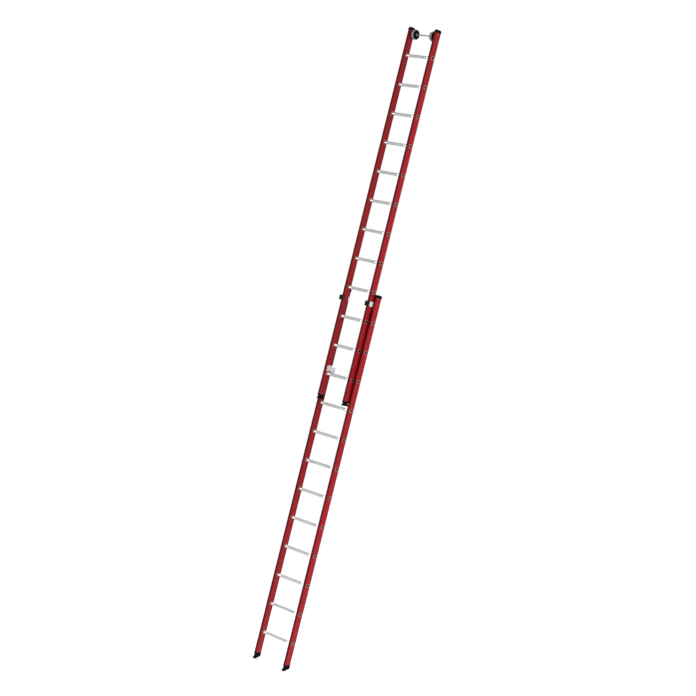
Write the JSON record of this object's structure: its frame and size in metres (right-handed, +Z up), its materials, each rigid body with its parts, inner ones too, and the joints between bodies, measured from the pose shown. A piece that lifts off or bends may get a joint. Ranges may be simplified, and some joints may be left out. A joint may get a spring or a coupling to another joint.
{
  "type": "extension ladder",
  "caption": "Two-section extension ladder with red glass-fibre box stiles, fluted aluminium rungs, swinging rung hooks, guide brackets, rubber feet and wall rollers at the top.",
  "frame": {"origin": "midway between the stiles and between the ladder's front and back, level with the lowest edge of the base section's feet", "axes": "+Z up along the stiles, +X to the climber's right, +Y towards the wall that the ladder leans on; the ladder's own frame, not tilted"},
  "size_m": [0.4232, 0.144, 6.133],
  "materials": {
    "grp_red": "pultruded glass-fibre laminate with a smooth red veil, satin gloss",
    "rung_aluminium": "extruded, fluted tread, plain bright ends",
    "flange_aluminium": "pressed, bright",
    "rivet_aluminium": "bright rivets",
    "plate_aluminium": "mill finish sheet",
    "hook_aluminium": "cast, tumbled",
    "zinc_steel": "zinc plated",
    "axle_steel": "zinc plated rod",
    "foot_rubber": "moulded black rubber",
    "cap_plastic": "moulded black plastic",
    "shoe_plastic": "moulded black nylon",
    "core_plastic": "moulded black plastic",
    "tyre_grey": "non-marking grey rubber",
    "bush_nylon": "natural nylon"
  },
  "bodies": {
    "base": {"base_end_cap_left": "cap_plastic", "base_end_cap_right": "cap_plastic", "base_foot_left": "foot_rubber", "base_foot_right": "foot_rubber", "base_rivets": "rivet_aluminium", "base_rung_01": "rung_aluminium", "base_rung_02": "rung_aluminium", "base_rung_03": "rung_aluminium", "base_rung_04": "rung_aluminium", "base_rung_05": "rung_aluminium", "base_rung_06": "rung_aluminium", "base_rung_07": "rung_aluminium", "base_rung_08": "rung_aluminium", "base_rung_09": "rung_aluminium", "base_rung_10": "rung_aluminium", "base_rung_11": "rung_aluminium", "base_rung_12": "rung_aluminium", "base_rung_flanges": "flange_aluminium", "base_stile_left": "grp_red", "base_stile_right": "grp_red", "guide_plate_left": "plate_aluminium", "guide_plate_right": "plate_aluminium", "guide_shoe_left": "shoe_plastic", "guide_shoe_right": "shoe_plastic"},
    "fly": {"axle_clips": "axle_steel", "fly_end_cap_left": "cap_plastic", "fly_end_cap_right": "cap_plastic", "fly_foot_left": "foot_rubber", "fly_foot_right": "foot_rubber", "fly_rivets": "rivet_aluminium", "fly_rung_01": "rung_aluminium", "fly_rung_02": "rung_aluminium", "fly_rung_03": "rung_aluminium", "fly_rung_04": "rung_aluminium", "fly_rung_05": "rung_aluminium", "fly_rung_06": "rung_aluminium", "fly_rung_07": "rung_aluminium", "fly_rung_08": "rung_aluminium", "fly_rung_09": "rung_aluminium", "fly_rung_10": "rung_aluminium", "fly_rung_11": "rung_aluminium", "fly_rung_12": "rung_aluminium", "fly_rung_flanges": "flange_aluminium", "fly_stile_left": "grp_red", "fly_stile_right": "grp_red", "hook_pivots": "zinc_steel", "hook_plate_left": "plate_aluminium", "hook_plate_right": "plate_aluminium", "roller_axle": "axle_steel", "roller_spacers": "plate_aluminium", "stop_blocks": "shoe_plastic"},
    "hook_left": {"hook_left": "hook_aluminium"},
    "hook_right": {"hook_right": "hook_aluminium"},
    "roller_left": {"roller_bush_left": "bush_nylon", "roller_core_left": "core_plastic", "roller_tyre_left": "tyre_grey"},
    "roller_right": {"roller_bush_right": "bush_nylon", "roller_core_right": "core_plastic", "roller_tyre_right": "tyre_grey"}
  },
  "joints": [
    {"name": "fly_slide", "type": "slide", "parent": "base", "child": "fly", "axis": [0, 0, 1], "range_m": [-2.52, 0.06]},
    {"name": "hook_swing_left", "type": "hinge", "parent": "fly", "child": "hook_left", "pos_m": [-0.1383, -0.022, 2.837], "axis": [1, 0, 0], "range_deg": [0, 60]},
    {"name": "hook_swing_right", "type": "hinge", "parent": "fly", "child": "hook_right", "pos_m": [0.1383, -0.022, 2.837], "axis": [1, 0, 0], "range_deg": [0, 60]},
    {"name": "roller_spin_left", "type": "hinge", "parent": "fly", "child": "roller_left", "pos_m": [-0.113, -0.008, 6.07], "axis": [1, 0, 0], "continuous": true},
    {"name": "roller_spin_right", "type": "hinge", "parent": "fly", "child": "roller_right", "pos_m": [0.113, -0.008, 6.07], "axis": [1, 0, 0], "continuous": true}
  ]
}
